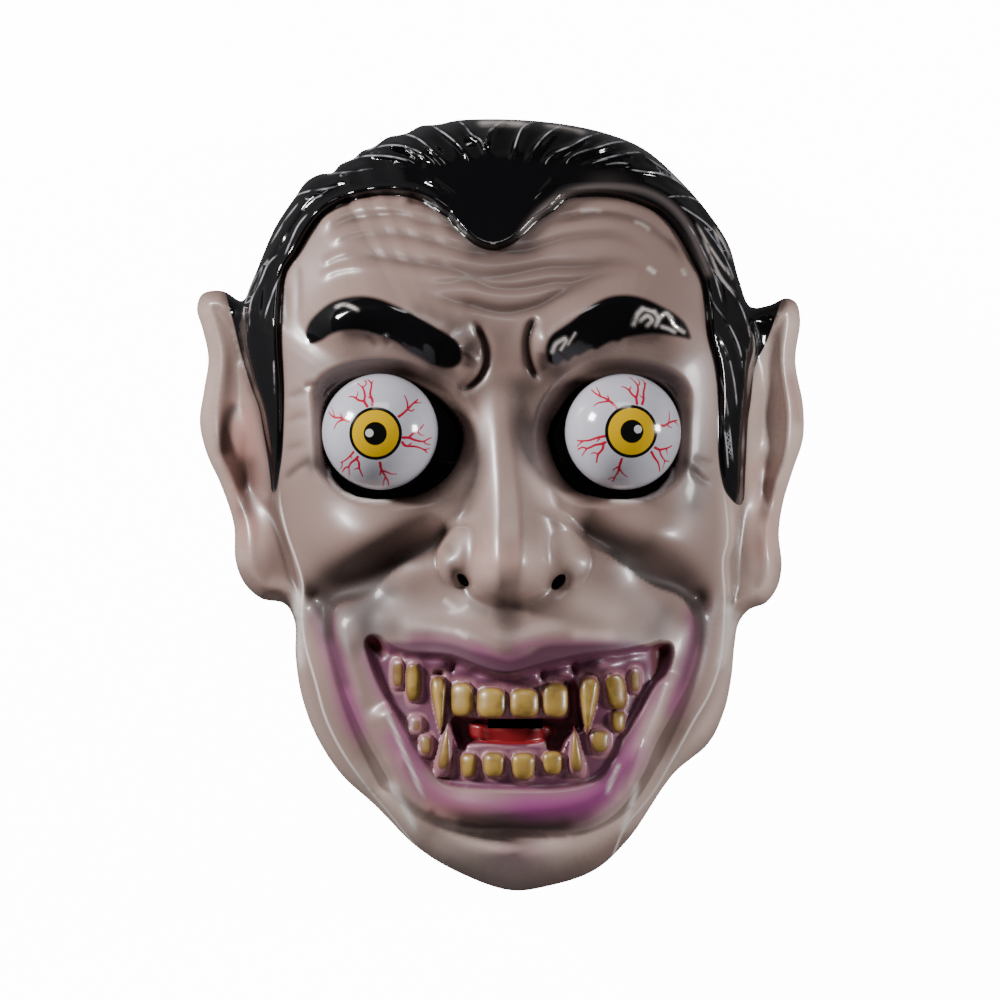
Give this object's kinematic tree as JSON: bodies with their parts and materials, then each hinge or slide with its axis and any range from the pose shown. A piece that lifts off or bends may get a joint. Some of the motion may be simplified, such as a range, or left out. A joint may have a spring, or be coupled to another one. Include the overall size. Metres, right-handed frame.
{
  "type": "vampire mask",
  "caption": "Moulded gloss plastic vampire face mask with pointed ears, slicked black hair, fanged grin and bulging ball eyes set in black sockets.",
  "frame": {"origin": "middle of the mask's outline in the plane of its flat rim", "axes": "+Z out of the face, +Y up the face toward the hair, +X to the right seen from the front"},
  "size_m": [0.2124, 0.2695, 0.0976],
  "materials": {
    "shell": "airbrushed gloss plastic moulding, bare pale plastic inside",
    "eyeball": "printed gloss white plastic ball"
  },
  "bodies": {
    "root": {"mask_shell": "shell", "eyeball_left": "eyeball", "eyeball_right": "eyeball"}
  },
  "joints": []
}
